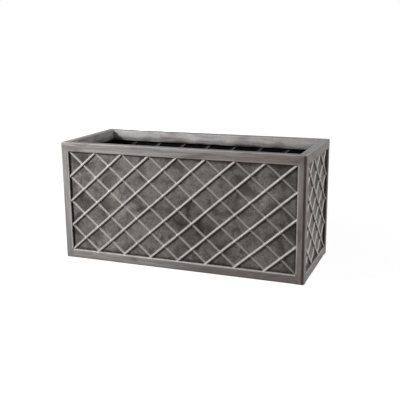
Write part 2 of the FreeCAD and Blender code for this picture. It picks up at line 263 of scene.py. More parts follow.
def tinted(tree, amount, under, over, way="MIX"):
    node = tree.nodes.new("ShaderNodeMix")
    node.data_type = "RGBA"
    node.blend_type = way
    plug(tree, node.inputs[0], amount)
    for socket, colour in ((node.inputs[6], under), (node.inputs[7], over)):
        plug(tree, socket, colour if isinstance(colour, bpy.types.NodeSocket) else (*colour, 1))
    return node.outputs[2]


def readMark(tree, name):
    node = tree.nodes.new("ShaderNodeAttribute")
    node.attribute_name = name
    return node.outputs["Fac"]


def bumped(tree, shader, relief, strength, rise):
    node = tree.nodes.new("ShaderNodeBump")
    node.inputs["Strength"].default_value = strength
    node.inputs["Distance"].default_value = rise * mm
    tree.links.new(relief, node.inputs["Height"])
    tree.links.new(node.outputs[0], shader.inputs["Normal"])


# Brushed pewter paint of the frame: streaks along each member, brown smears where the dark
# coat shows through, edges rubbed bright, dark wash mixed with painted shade in recesses and on
# some edges and faces, black towards the compost
frameFinish = {
    "dark": (0.190, 0.180, 0.172),
    "light": (0.335, 0.321, 0.308),
    "smear": (0.130, 0.117, 0.110),
    "patina": (0.94, 0.815, 0.78),  # multiplies the paint where it has browned
    "rubbed": (0.54, 0.526, 0.511),
    "washAndShade": (0.026, 0.018, 0.017),
    "inner": (0.006, 0.006, 0.006),
    "faintPatina": 0.1,
    "endPatina": 0.7,
    "patinaReach": (-0.12, 0.46),  # along a long side, in shares of it
    "streakScale": (7, 210),  # along the member, across it
    "hairScale": (30, 1100),
    "smearScale": (9, 34),
    "grainScale": 420,
    "roughness": (0.42, 0.62),
    "metallic": 0.12,
    "specular": 0.28,
}


def brushedFrame(name, axis):
    look = frameFinish
    finish, tree, shader, where = newFinish(name, look["metallic"], look["specular"])

    def brushed(scales, detail, warp):
        stretch = [scales[0] if n == axis else scales[1] for n in range(3)]
        return cloud(tree, stretched(tree, where, stretch), 1, detail, 0.6, warp)

    streak = brushed(look["streakScale"], 4, 0.3)
    hair = brushed(look["hairScale"], 2, 0)
    smear = brushed(look["smearScale"], 5, 0.9)
    grain = cloud(tree, where, look["grainScale"], 2, 0.6)
    tone = blended(tree, streak, 0.6, hair, 0.4)
    colour = tinted(tree, ranged(tree, tone, 0.38, 0.62), look["dark"], look["light"])
    colour = tinted(tree, ranged(tree, smear, 0.48, 0.7, 0, 0.8), colour, look["smear"])
    smeared = ranged(tree, smear, 0.3, 0.6, 0.75, 1)
    browned = reckon(tree, "MULTIPLY", readMark(tree, "patina"), smeared)
    colour = tinted(tree, browned, colour, look["patina"], "MULTIPLY")
    rubAndShade = readMark(tree, "rubAndShade")
    uneven = blended(tree, smear, 0.7, grain, 0.5)
    worn = ranged(tree, rubAndShade, 0.05, 1)
    worn = reckon(tree, "MULTIPLY", worn, ranged(tree, uneven, 0.5, 0.8, 1, 0.35))
    colour = tinted(tree, worn, colour, look["rubbed"])
    washedAndShaded = ranged(tree, rubAndShade, -0.05, -0.9)
    washedAndShaded = reckon(tree, "MULTIPLY", washedAndShaded, ranged(tree, uneven, 0.5, 0.8, 0.95, 0.7))
    colour = tinted(tree, washedAndShaded, colour, look["washAndShade"])
    colour = tinted(tree, readMark(tree, "inner"), colour, look["inner"])
    tree.links.new(colour, shader.inputs["Base Color"])
    tree.links.new(ranged(tree, tone, 0.3, 0.7, *look["roughness"]), shader.inputs["Roughness"])
    bumped(tree, shader, blended(tree, tone, 1, grain, 0.25), 0.3, 0.3)
    return finish


frameFinishes = [brushedFrame("brushedPewter" + letter, axis) for axis, letter in enumerate("XYZ")]
recessCoatAndShade = -0.9  # dark coat and painted shade where a member meets its panel
tiny = 0.01


# Share of browned paint along a side: a long side browns towards its right end
def patinaAlong(side, along):
    span = sides[side][1]
    faint = frameFinish["faintPatina"]
    if span < length:
        return frameFinish["endPatina"] + 0 * along
    start, end = frameFinish["patinaReach"]
    return faint + (1 - faint) * eased(along, start * span, end * span)


# Corner posts: an L-shaped section with two panel grooves, carried upwards; its inner edges are
# tight beside the bottom rails and ease out to their full rounding above them
post = {
    "wall": 13.1,
    "grooveNear": 6.9,
    "grooveFar": 10.1,
    "grooveDepth": 8.0,
    "cornerRadius": 5.0,
    "edgeRadius": 1.5,
    "tightRadius": 0.15,
    "innerRadius": 0.5,
    "fade": 4.0,
    "edgeTones": (0.75, 0.75),  # at the first and at the second edge
    "wallBlackAndShade": 0.85,  # share of black on the walls of the recess: black coat and painted shade
    "longPatina": 0.85,  # on the long face of a post at the right of its side
    "step": 16,
    "waver": 0.22,
    "easeReach": (-1.0, 5.0),  # from the bottom rail's top, where the edges round off
}
cornerWashAndShade = {  # at the start and at the end of the corner's round: dark wash and painted shade, most on the front right corner, whose round ends lighter
    "front_left": (-0.45, -0.15),
    "front_right": (-1.3, 0.9),
    "back_right": (-0.5, -0.2),
    "back_left": (-0.8, -0.1),
}
edgeTones = {"back_right": (0.75, -0.8)}  # where they differ from those of the other posts: painted shade on the back right post's second edge


def postOutline(edge, washAndShade, rubs):
    face, wall, deep = postFace, post["wall"], postFace - post["grooveDepth"]
    near, far, inner = post["grooveNear"], post["grooveFar"], post["innerRadius"]
    return roundedOutline([
        (0, 0, post["cornerRadius"], washAndShade, 0),
        (face, 0, edge, rubs[0], 0),
        (face, near, 0, recessCoatAndShade, 0),
        (deep, near, 0, 0, 1),
        (deep, far, 0, 0, 1),
        (face, far, 0, 0, 1),
        (face, wall, inner, 0, 1),
        (wall, wall, 0, 0, 1),
        (wall, face, inner, 0, 1),
        (far, face, 0, 0, 1),
        (far, deep, 0, 0, 1),
        (near, deep, 0, 0, 1),
        (near, face, 0, recessCoatAndShade, 0),
        (0, face, edge, rubs[1], 0),
    ], post["fade"], 6)


def makePost(corner, turn):
    easing = openLow + np.linspace(*post["easeReach"], 4)
    shaft = np.linspace(easing[-1], openHigh, int(openHigh / post["step"]))
    up = np.concatenate([[0, openLow / 2], easing, shaft[1:]])[:, None]
    free = eased(up, easing[0], easing[-1])
    rubs = edgeTones.get(corner, post["edgeTones"])
    tight, marks = postOutline(post["tightRadius"], cornerWashAndShade[corner], rubs)
    full, _ = postOutline(post["edgeRadius"], cornerWashAndShade[corner], rubs)
    section = tight + free[..., None] * (full - tight)
    sway = post["waver"] * np.sin(math.pi * up / openHigh)
    halves = (length / 2, depth / 2) if math.cos(turn) ** 2 > 0.5 else (depth / 2, length / 2)
    x = section[..., 0] + sway * unevenness(up, 0, turn) - halves[0]
    y = section[..., 1] + sway * unevenness(up, 9, turn + 1) - halves[1]
    c, s = math.cos(turn), math.sin(turn)
    rings = np.stack(np.broadcast_arrays(c * x - s * y, s * x + c * y, up), axis=-1)
    rubAndShade = np.where(marks[:, 0] > 0, marks[:, 0] * free, marks[:, 0])
    # the walls of the recess go black: black coat and painted shade
    recessWall = (tight.max(axis=1) > postFace - tiny) & (tight.min(axis=1) > 1)
    black = np.where(recessWall, np.maximum(marks[:, 1], post["wallBlackAndShade"]), marks[:, 1])
    turned = halves[0] < halves[1]
    onLong = (tight[:, 0] < tight[:, 1]) == turned
    longPatina = post["longPatina"] if turned else frameFinish["faintPatina"]
    patina = np.where(onLong, longPatina, frameFinish["endPatina"])
    wear = {
        "rubAndShade": rubAndShade,
        "inner": np.broadcast_to(black, rubAndShade.shape),
        "patina": np.broadcast_to(patina, rubAndShade.shape),
    }
    name = pieceName(corner, "Post")
    makePiece(name, rings, sweptFaces(rings), frameFinishes[2], corner + "_post", wear)


for corner, turn in cornerTurns.items():
    makePost(corner, turn)
print("posts made")


# Rim rails: the rim's section carried along a side, its outer edge turning round the trough's
# corner as an arc that shares the corner's centre, up to the mitre at 45 degrees; its lower edge
# is tight over the posts and rounded over the opening
rim = {
    "thickness": 3.0,
    "lipThickness": 2.2,
    "topRadius": 2.5,
    "edgeRadius": 1.5,
    "lipRadius": 0.9,
    "lipBands": (0.65, 0.4),  # down from the top, in shares of the lip's height
    "fade": 1.5,
    "step": 14,
    "waver": 0.3,
    "sag": 0.7,  # share of the waver that goes up and down
    "swayReach": (30, 90),  # from a rail's ends, where it begins to waver
    "arcSteps": 5,
    "darkeningReach": 5.0,
    "endReach": 27.0,
    "edgeRub": 0.5,
    "innerRub": 0.15,
    "outerRub": 0.6,
    "lipTone": (-0.6, 0.9),  # at the lip's lower edge and at its upper bright band
    "smudge": 1.2,
    "crease": 6.0,  # dark width in the corners of the long sides' lips: dark coat and painted shade
    "patinaShare": 0.9,
    # how much darker or lighter the top of each side is
    "topTones": {"front": -0.55, "right": 0.15, "back": 0.0, "left": 0.1},
}


# Finish of a rail, brushed along its side
def railFinish(side):
    return frameFinishes[0 if sides[side][1] == length else 1]


def rimOutline(edge):
    near, far, groove = post["grooveNear"], post["grooveFar"], openHigh + post["grooveDepth"]
    wall, lip = post["wall"], rimWidth - rim["lipThickness"]
    under, lipLow = height - rim["thickness"], height - lipHeight
    lipBands = [height - share * lipHeight for share in rim["lipBands"]]
    return roundedOutline([
        (0, openHigh, edge, rim["edgeRub"], 0),
        (near, openHigh, 0, recessCoatAndShade, 0),
        (near, groove, 0, 0, 1),
        (far, groove, 0, 0, 1),
        (far, openHigh, 0, 0, 1),
        (wall, openHigh, 0, 0, 1),
        (wall, under, 0, 0, 1),
        (lip, under, 0, 0, 1),
        (lip, lipLow, 0, 0, 1),
        (rimWidth, lipLow, rim["lipRadius"], 0, 0),
        (rimWidth, lipBands[0], 0, 0, 0),
        (rimWidth, lipBands[1], 0, 0, 0),
        (rimWidth, height, rim["topRadius"], rim["innerRub"], 0),
        (0, height, rim["topRadius"], rim["outerRub"], 0),
    ], rim["fade"], 5)


def makeRimRail(side):
    turn, span, _ = sides[side]
    tight, marks = rimOutline(post["tightRadius"])
    full, _ = rimOutline(rim["edgeRadius"])
    inwards, level = tight[:, 0], tight[:, 1]
    radius, half, steps = post["cornerRadius"], span / 2, rim["arcSteps"]
    angles = np.linspace(math.pi / 4, math.pi / 2, steps + 1)[:, None]
    arcs = (radius - (radius - inwards) * np.cos(angles), radius - (radius - inwards) * np.sin(angles))
    past = [radius + rim["darkeningReach"], postFace - 1, postFace + 1, postFace + 3, rim["endReach"]]
    past = np.array(past)[:, None] + 0 * inwards
    share = np.linspace(0, 1, steps + 1 + len(past))[:, None]
    mitred = inwards + share * (rim["endReach"] - inwards)
    endAlong = np.where(inwards < radius, np.concatenate([arcs[0], past]), mitred)
    endShift = np.where(inwards < radius, np.concatenate([arcs[1] - inwards, 0 * past]), 0)
    run = np.linspace(rim["endReach"], span - rim["endReach"], int(span / rim["step"]))
    middle = run[1:-1, None] + 0 * inwards
    along = np.concatenate([endAlong, middle, span - endAlong[::-1]]) - half
    shift = np.concatenate([endShift, 0 * middle, endShift[::-1]])
    fromEnd = half - np.abs(along)
    free = eased(fromEnd, *(postFace + np.array(post["easeReach"])))
    section = tight + free[..., None] * (full - tight)
    sway = rim["waver"] * eased(fromEnd, *rim["swayReach"])
    out = section[..., 0] + shift + sway * unevenness(along, 0, turn)
    rise = section[..., 1] - rim["sag"] * sway * unevenness(along, 40, turn + 2)
    rings = onSide(side, along, out, rise)
    lower = section[..., 1] < openHigh + 2 * rim["edgeRadius"]
    rubAndShade = np.where(lower & (marks[:, 0] > 0), marks[:, 0] * free, marks[:, 0])
    belowTop = level < height - rim["topRadius"] / 2
    face = (inwards < rim["edgeRadius"]) & belowTop
    cornerMarks = [cornerWashAndShade[corner][end] for corner, end in zip(sideCorners[side], (1, 0))]
    washAndShade = np.where(along < 0, *cornerMarks) * (1 - eased(fromEnd, radius, radius + rim["darkeningReach"]))
    rubAndShade = np.where(face, np.minimum(rubAndShade, washAndShade), rubAndShade)
    lip = (inwards > rimWidth - rim["lipRadius"]) & belowTop
    smudge = unevenness(1.8 * along, 2.2 * level, turn + 1.2) - 0.5
    lowTone, highTone = rim["lipTone"]
    brightening = eased(level, height - lipHeight, height - rim["lipBands"][1] * lipHeight)
    lipRub = lowTone + (highTone - lowTone) * brightening + rim["smudge"] * smudge
    crease = 2 * eased(fromEnd - rimWidth, 0, rim["crease"]) - 1 if span == length else 1
    rubAndShade = np.where(lip, np.minimum(lipRub, crease), rubAndShade)
    acrossTop = np.abs(2 * inwards - rimWidth) < rimWidth - 3 * rim["topRadius"]
    rubAndShade = np.where((level > height - tiny) & acrossTop, rim["topTones"][side], rubAndShade)
    patina = np.where(face, rim["patinaShare"] * patinaAlong(side, along), frameFinish["faintPatina"])
    wear = {"rubAndShade": rubAndShade, "inner": np.broadcast_to(marks[:, 1], rubAndShade.shape), "patina": patina}
    node = side + "_top_rail"
    makePiece(side + "RimRail", rings, sweptFaces(rings), railFinish(side), node, wear)


# Bottom rails: a grooved section with a ledge for the floor, carried along a side between posts
footRail = {
    "ledgeHeight": 12.0,
    "ledgeSetback": 2.0,
    "edgeRadius": 1.6,
    "lowRadius": 1.3,
    "fade": 3.0,
    "lowRub": -0.6,
    "ledgeRub": 0.3,
    "edgeRub": (1.0, 3.0),  # on the long sides and on the ends, where the greater value adds a painted highlight
    "washAndShade": -0.4,  # painted shade on the right half of a long side
    "darkeningReach": (-0.2, 0.1),  # along the side, in shares of it
    "patinaShare": 0.7,
    "step": 14,
    "waver": 0.25,
    "sag": 0.6,
    "swayReach": 40,
}


def makeFootRail(side):
    turn, span, _ = sides[side]
    near, far, groove = post["grooveNear"], post["grooveFar"], openLow - post["grooveDepth"]
    ledge, shelf = post["wall"] + footRail["ledgeSetback"], footRail["ledgeHeight"]
    edgeRub = footRail["edgeRub"][0 if span == length else 1]
    outline, marks = roundedOutline([
        (0, 0, footRail["lowRadius"], footRail["lowRub"], 0),
        (footDepth, 0, 0, 0, 1),
        (footDepth, shelf, 0, 0, 1),
        (ledge, shelf, 0, 0, 1),
        (ledge, openLow, 0, 0, 1),
        (far, openLow, 0, 0, 1),
        (far, groove, 0, 0, 1),
        (near, groove, 0, 0, 1),
        (near, openLow, 0, footRail["ledgeRub"], 0),
        (0, openLow, footRail["edgeRadius"], edgeRub, 0),
    ], footRail["fade"], 5)
    half = span / 2 - postFace
    along = np.linspace(-half, half, int(2 * half / footRail["step"]))[:, None]
    sway = footRail["waver"] * eased(half - np.abs(along), 0, footRail["swayReach"])
    out = outline[:, 0] + sway * unevenness(along, 15, turn + 4)
    sag = footRail["sag"] * sway * unevenness(along, 55, turn)
    rise = outline[:, 1] - np.where(outline[:, 1] > shelf, sag, 0)
    rings = onSide(side, along, out, rise)
    rubAndShade, inner = np.moveaxis(np.broadcast_to(marks, (*rings.shape[:2], 2)), -1, 0)
    onFace = (outline[:, 0] < tiny) & (marks[:, 0] == 0) & (span == length)
    shadeStart, shadeEnd = footRail["darkeningReach"]
    rubAndShade = np.where(onFace, footRail["washAndShade"] * eased(along, shadeStart * span, shadeEnd * span), rubAndShade)
    patina = footRail["patinaShare"] * patinaAlong(side, along + 0 * out)
    wear = {"rubAndShade": rubAndShade, "inner": inner, "patina": patina}
    node = side + "_bottom_rail"
    makePiece(side + "FootRail", rings, sweptFaces(rings), railFinish(side), node, wear)


for side in sides:
    makeRimRail(side)
    makeFootRail(side)
print("rails made")


# Lattice layout: cells across and up, diagonals through the nodes of that grid
lattice = {
    "longCells": 8,
    "endCells": 3,
    "highCells": 4,
    "sideInset": 1.5,
    "endInset": 0.6,
    "seat": 0.3,  # how far the bars' ends go into the frame
}
highPitch = (openHigh - openLow - 2 * lattice["endInset"]) / lattice["highCells"]
latticeLow = openLow + lattice["endInset"]


def layoutOf(side):
    span = sides[side][1]
    cells = lattice["longCells"] if span == length else lattice["endCells"]
    return cells, (span - 2 * postFace - 2 * lattice["sideInset"]) / cells


# Lean of the bars on top, going up: to the right on the long sides, to the left on the ends
def overLean(side):
    return 1 if sides[side][1] == length else -1


# Sponged pewter of the panels: fine and coarse mottling over black, darker towards the frame with
# dark coat and painted shadow, painted shadow close below the over bars, the ends paler as painted
# light, black on the compost's side
panelFinish = {
    "dark": (0.090, 0.082, 0.0755),
    "light": (0.225, 0.207, 0.193),
    "blotch": (0.040, 0.034, 0.031),
    "tarnish": (0.34, 0.305, 0.29),  # multiplies the paint where it has darkened
    "pale": (0.25, 0.236, 0.225),
    "paleAndLit": (2.45, 2.4, 2.35),  # multiplies the paint where it is paler, and on the ends as painted light
    "margin": (0.019, 0.0115, 0.009),
    "inner": (0.005, 0.005, 0.005),
    "mottle": 70,
    "grain": 330,
    "blotchScale": 15,
    "blotchShift": (0.74, 0.23, 0.31),
    "lineReach": (0.062, 0.09),  # painted shadow below an over bar, in shares of the way to the next one
    "lineShadow": 0.5,
    "endTone": (0.73, 0.72, 0.715),  # multiplies the paint of the right end, part of its painted light
    # the painted shadow below the bars is wider and darker on the right end
    "endLineReach": 0.2,
    "endLineShadow": 0.95,
    "roughness": (0.52, 0.78),
    "metallic": 0.06,
    "specular": 0.2,
    "innerSpecular": 0.03,
}


def spongedPanel():
    look = panelFinish
    finish, tree, shader, where = newFinish("spongedPewter", look["metallic"], look["specular"])
    mottle = cloud(tree, where, look["mottle"], 6, 0.68, 0.5)
    grain = cloud(tree, where, look["grain"], 3, 0.65)
    blotch = cloud(tree, moved(tree, where, look["blotchShift"]), look["blotchScale"], 3, 0.55, 0.9)
    tone = blended(tree, mottle, 0.5, grain, 0.5)
    colour = tinted(tree, ranged(tree, tone, 0.4, 0.6), look["dark"], look["light"])
    colour = tinted(tree, ranged(tree, blotch, 0.47, 0.68, 0, 0.85), colour, look["blotch"])
    colour = tinted(tree, ranged(tree, blotch, 0.49, 0.3, 0, 0.5), colour, look["pale"])
    tarnish = readMark(tree, "tarnish")
    colour = tinted(tree, ranged(tree, tarnish, 0, -1), colour, look["paleAndLit"], "MULTIPLY")
    dulled = ranged(tree, tarnish, 0, 1)
    dulled = reckon(tree, "MULTIPLY", dulled, ranged(tree, mottle, 0.3, 0.65, 1, 0.7))
    colour = tinted(tree, dulled, colour, look["tarnish"], "MULTIPLY")
    # the right end: its paler paint is painted light, and its painted shadow lines are wider and
    # darker
    onEnd = ranged(tree, tarnish, -0.8, -0.9)
    colour = tinted(tree, onEnd, colour, look["endTone"], "MULTIPLY")
    reach = ranged(tree, onEnd, 0, 1, look["lineReach"][1], look["endLineReach"])
    washAndShade = ranged(tree, onEnd, 0, 1, look["lineShadow"], look["endLineShadow"])
    # painted shadow below each over bar
    line = reckon(tree, "FRACT", readMark(tree, "line"))
    below = ranged(tree, line, look["lineReach"][0], reach, washAndShade, 0)
    margin = reckon(tree, "MAXIMUM", readMark(tree, "margin"), below)
    margin = reckon(tree, "MULTIPLY", margin, ranged(tree, mottle, 0.3, 0.7, 1.0, 0.6))
    colour = tinted(tree, margin, colour, look["margin"])
    inner = readMark(tree, "inner")
    colour = tinted(tree, inner, colour, look["inner"])
    tree.links.new(colour, shader.inputs["Base Color"])
    sheen = ranged(tree, inner, 0, 1, look["specular"], look["innerSpecular"])
    tree.links.new(sheen, shader.inputs["Specular IOR Level"])
    tree.links.new(ranged(tree, tone, 0.35, 0.65, *look["roughness"]), shader.inputs["Roughness"])
    bumped(tree, shader, tone, 0.4, 0.6)
    return finish


# Panels: a sheet of two grids, the outer one slightly uneven, joined round the edge
panel = {
    "step": 3.5,
    "waver": 0.35,
    # darker paint near the frame: dark coat and painted shadow of the frame
    "marginReach": (2.0, 7.0),
    "marginShares": (1.0, 1.1, 1.5, 1.3),  # at the left, right, top and bottom; their differences are painted shadow
    "topDeepening": 0.6,  # of the top margin, from the left to the right: painted shadow under the top rail
    "flatMargin": 15,  # round the edge, where the sheet lies flat
    # paler ends, the right one most: painted light
    "endPaintedLight": {"right": 0.9, "left": 0.3},
    "patchSquash": 1.2,  # a tarnish patch is lower than it is wide
    "patchEdges": (0.1, 1.5),  # where it starts and ends to fade, in shares of its reach
    "tarnish": (  # along and up in shares of the opening, reach, depth (below 0: pale)
        (0.05, 0.37, 110, 0.85),
        (0.17, 0.27, 60, 0.35),
        (-0.44, 0.5, 48, 1.25),
        (0.47, 0.03, 45, 0.7),
        (0.45, 0.97, 62, 0.95),
        (-0.15, 0.72, 40, 0.3),
        (-0.30, 0.88, 50, 0.6),
        (-0.44, 0.25, 35, 0.4),
        (-0.28, 0.50, 55, -0.6),
        (-0.33, 0.10, 55, -0.55),
        (0.34, 0.69, 55, -0.6),
    ),
}
pewterPanels = spongedPanel()


def makePanel(side):
    turn, span, _ = sides[side]
    half = span / 2 - postFace + panelReach
    along = np.linspace(-half, half, int(2 * half / panel["step"]))[None, :]
    low, high = panelBox[0][2], panelBox[1][2]
    up = np.linspace(low, high, int((high - low) / panel["step"]))[:, None]
    halfOpen, rise = span / 2 - postFace, openHigh - openLow
    toEdges = np.broadcast_arrays(along + halfOpen, halfOpen - along, openHigh - up, up - openLow)
    toEdge = np.minimum.reduce(toEdges)
    start, end = panel["marginReach"]
    shares = np.array(panel["marginShares"])[:, None, None] * np.ones(toEdge.shape)
    shares[2] *= 1 + panel["topDeepening"] * along / halfOpen
    margins = [1 - eased(gap / share, start, end) for gap, share in zip(toEdges, shares)]
    margin = np.maximum.reduce(margins)
    # the ends start paler than the long sides, the right end most: painted light
    tarnish = 0 * toEdge - panel["endPaintedLight"].get(side, 0)
    core, edge = panel["patchEdges"]
    for across, upwards, reach, dulling in panel["tarnish"] if span == length else ():
        above = panel["patchSquash"] * np.abs(up - openLow - upwards * rise)
        away = np.abs(along - 2 * across * halfOpen) + above
        tarnish = tarnish + dulling * (1 - eased(away, core * reach, edge * reach))
    cells, pitch = layoutOf(side)
    line = overLean(side) * (along / pitch + cells / 2) - (up - latticeLow) / highPitch
    bulge = np.clip(toEdge / panel["flatMargin"], 0, 1) * unevenness(along * 1.3, up * 1.6, turn + 5)
    bulge = panel["waver"] * bulge
    rows, columns = toEdge.shape
    front = onSide(side, along, recess + bulge, up)
    back = onSide(side, along, recess + panelThickness, up + 0 * along)
    count = rows * columns
    outer = gridQuads(rows, columns, False)
    inner = gridQuads(rows, columns, False, count)[:, ::-1]
    numbers = np.arange(count).reshape(rows, columns)
    loop = np.concatenate([numbers[0, :-1], numbers[:-1, -1], numbers[-1, :0:-1], numbers[:0:-1, 0]])
    border = np.stack([np.roll(loop, -1), loop, loop + count, np.roll(loop, -1) + count], axis=1)
    points = np.concatenate([front.reshape(-1, 3), back.reshape(-1, 3)])
    marks = {
        "margin": np.concatenate([margin.ravel(), np.ones(count)]),
        "inner": np.concatenate([np.zeros(count), np.ones(count)]),
        "tarnish": np.concatenate([tarnish.ravel(), np.zeros(count)]),
        "line": np.concatenate([line.ravel(), np.zeros(count)]),
    }
    faces = np.concatenate([outer, inner, border])
    makePiece(side + "Panel", points, faces, pewterPanels, side + "_panel", marks)


for side in sides:
    makePanel(side)
print("panels made")


# Rubbed pewter of the bars: bright along the crest, dark at the foot; the crest marks also carry
# painted highlights, painted glints and painted shade
barFinish = {
    "foot": (0.056, 0.036, 0.029),
    "flank": (0.274, 0.260, 0.246),
    "crest": (0.446, 0.428, 0.407),
    # painted glint where the crest mark is highest
    "paintedGlint": (0.87, 0.85, 0.825),
    "dull": (0.22, 0.210, 0.201),
    "patchScale": 24,
    "grain": 260,
    "roughness": (0.36, 0.58),
    "metallic": 0.12,
    "specular": 0.35,
}


def rubbedBars():
    look = barFinish
    finish, tree, shader, where = newFinish("rubbedPewter", look["metallic"], look["specular"])
    crest = readMark(tree, "crest")
    patch = cloud(tree, where, look["patchScale"], 4, 0.6, 0.5)
    grain = cloud(tree, where, look["grain"], 3, 0.6)
    graininess = reckon(tree, "MULTIPLY", reckon(tree, "SUBTRACT", grain, 0.5), 0.5)
    lift = reckon(tree, "ADD", crest, graininess)
    colour = tinted(tree, ranged(tree, lift, 0.05, 0.4), look["foot"], look["flank"])
    colour = tinted(tree, ranged(tree, lift, 0.4, 0.85), colour, look["crest"])
    colour = tinted(tree, ranged(tree, patch, 0.52, 0.75, 0, 0.55), colour, look["dull"])
    colour = tinted(tree, ranged(tree, lift, 1.1, 1.5), colour, look["paintedGlint"])
    tree.links.new(colour, shader.inputs["Base Color"])
    tree.links.new(ranged(tree, patch, 0.3, 0.7, *look["roughness"]), shader.inputs["Roughness"])
    bumped(tree, shader, grain, 0.3, 0.3)
    return finish


pewterBars = rubbedBars()


# How far a piece of the front stands out of the front's panel
def riseOf(node):
    return recess - (boxOf(node)[0][1] - postBox[0][1])


# Bars: a half-round section with a small flare at its foot, carried along a diagonal; a bar is
# a little higher and wider at its crossings and wavers slightly along its length
bars = {
    "shadeReach": (4.0, 10.0),  # below a crossing, where a bar comes out of its painted shade
    "endFade": (-1.0, 5.0),  # from the opening's edge, where the bars' ends carry painted shade of the frame
    "endPaintedShade": 0.5,
    "toneReach": 0.35,  # from the middle of a long side, in shares of it, over which the bars' painted light changes
    "swellReach": 7,
    "waverLength": 37,
    "riseWaver": 0.04,
    "riseLength": 19,
    "halfSection": (1.16, 0.97, 0.86, 0.66, 0.42, 0.18),  # across, from the foot to the crest
}
barShares = np.array(bars["halfSection"])
barShares = np.concatenate([barShares, -barShares[::-1]])
overBar = {
    "way": 1,  # with the over bars' lean
    "width": 7.6,
    "rise": riseOf("front_over_bars"),
    "rubbed": (1.08, 1.23),  # at the left and at the right of a long side; the change between them is painted light
    # the right end brighter than the left: painted light
    "endRubbedAndLit": {"right": 1.75, "left": 0.95},
    "tilt": 0.4,  # how far up its flank a bar is brightest: painted highlight on one flank, painted shade on the other
    "endTilt": 0.3,
    "spread": (1.25, 0.85),  # how broad the painted highlight is, at the left and at the right
    "fullness": 0.5,  # power of the section: smaller is flatter on top
    "swell": 0.06,
    "shade": 0,
    "waver": 0.3,
    "step": 4.5,
}
underBar = {
    "way": -1,  # against the over bars' lean
    "width": 6.4,
    "rise": riseOf("front_under_bars"),
    # fading from the left to the right, and the right end brighter: painted light
    "rubbed": (0.74, 0.46),
    "endRubbedAndLit": {"right": 1.6, "left": 0.7},
    "tilt": 0.5,
    "endTilt": 0.2,
    "spread": (1.8, 1.4),
    "fullness": 0.3,
    "swell": 0,
    "shade": 0.7,  # how dark the painted shade of a bar is where it comes out below another
    "waver": 0.2,
    "step": 4.5,
}


# Start and end of each line of a bar, at its sideways offset, on the frame's opening
def clipLines(side, foot, step, offsets):
    halfOpen = sides[side][1] / 2 - postFace + lattice["seat"]
    low, high = openLow - lattice["seat"], openHigh + lattice["seat"]
    u = foot - step[1] * offsets
    w = latticeLow + step[0] * offsets
    sideways = np.sort(np.stack([(-halfOpen - u) / step[0], (halfOpen - u) / step[0]]), axis=0)
    begin = np.maximum((low - w) / step[1], sideways[0])
    end = np.minimum((high - w) / step[1], sideways[1])
    return u, w, begin, end


# Every diagonal of one lean: the foot of its line and its unit step
def diagonals(side, lean):
    cells, pitch = layoutOf(side)
    high = lattice["highCells"]
    first = 1 - high if lean > 0 else 1
    feet = (np.arange(first, first + cells + high - 1) - cells / 2) * pitch
    reach = math.hypot(pitch, highPitch)
    return feet, np.array([lean * pitch, highPitch]) / reach, reach / 2


def makeBars(side, name, node, shape):
    lean = shape["way"] * overLean(side)
    feet, step, half = diagonals(side, lean)
    onLong = sides[side][1] == length
    halfOpen = sides[side][1] / 2 - postFace
    tilt = lean * shape["tilt" if onLong else "endTilt"]
    toneReach = (-bars["toneReach"] * length, bars["toneReach"] * length)
    section = (1 - np.clip(np.abs(barShares), 0, 1) ** 2) ** shape["fullness"]
    offsets = barShares * shape["width"] / 2
    points, faces, crests = [], [], []
    start = 0
    for number, foot in enumerate(feet):
        u, w, begin, end = clipLines(side, foot, step, offsets)
        rows = max(4, int((end - begin).max() / shape["step"]))
        t = begin + np.linspace(0, 1, rows)[:, None] * (end - begin)
        toCrossing = np.abs(t / half - np.round(t / half)) * half
        swell = 1 + shape["swell"] * np.exp(-(toCrossing / bars["swellReach"]) ** 2)
        drift = shape["waver"] * np.sin(t / bars["waverLength"] + 2.3 * number)
        unevenRise = 1 + bars["riseWaver"] * np.sin(t / bars["riseLength"] + number)
        rise = shape["rise"] * section * swell * unevenRise
        spread = offsets * (swell - 1) + drift
        along = u + t * step[0] - step[1] * spread
        up = w + t * step[1] + step[0] * spread
        rings = onSide(side, along, recess - rise, np.clip(up, openLow, openHigh))
        points.append(rings.reshape(-1, 3))
        faces += sweptFaces(rings, start)
        # painted shade: at the bars' ends along the top and left of the opening, and below each
        # crossing
        toEdge = np.minimum(halfOpen + along, openHigh - up)
        unshaded = 1 - bars["endPaintedShade"] * (1 - eased(toEdge, *bars["endFade"]))
        below = (1 - t / half % 1) * half
        unshaded = unshaded * (1 - shape["shade"] * (1 - eased(below, *bars["shadeReach"])))
        # painted light: one flank brighter, changing along a long side and between the ends
        breadth = np.interp(along, toneReach, shape["spread"])
        lit = np.sqrt(np.clip(1 - (barShares - tilt) ** 2 / breadth, 0, 1))
        rubbed = np.interp(along, toneReach, shape["rubbed"]) if onLong else shape["endRubbedAndLit"][side]
        crests.append((lit * rubbed * unshaded).ravel())
        start += rings.shape[0] * rings.shape[1]
    wear = {"crest": np.concatenate(crests)}
    makePiece(side + name, np.concatenate(points), faces, pewterBars, side + node, wear)


# Crossings: the lattice's inner nodes and the middles of its cells
def crossingsOf(side):
    cells, pitch = layoutOf(side)
    high = lattice["highCells"]
    nodes = np.stack(np.meshgrid(np.arange(1, cells), np.arange(1, high)), axis=-1).reshape(-1, 2)
    middles = np.stack(np.meshgrid(np.arange(cells), np.arange(high)), axis=-1).reshape(-1, 2) + 0.5
    spots = np.concatenate([nodes, middles])
    return (spots[:, 0] - cells / 2) * pitch, latticeLow + spots[:, 1] * highPitch


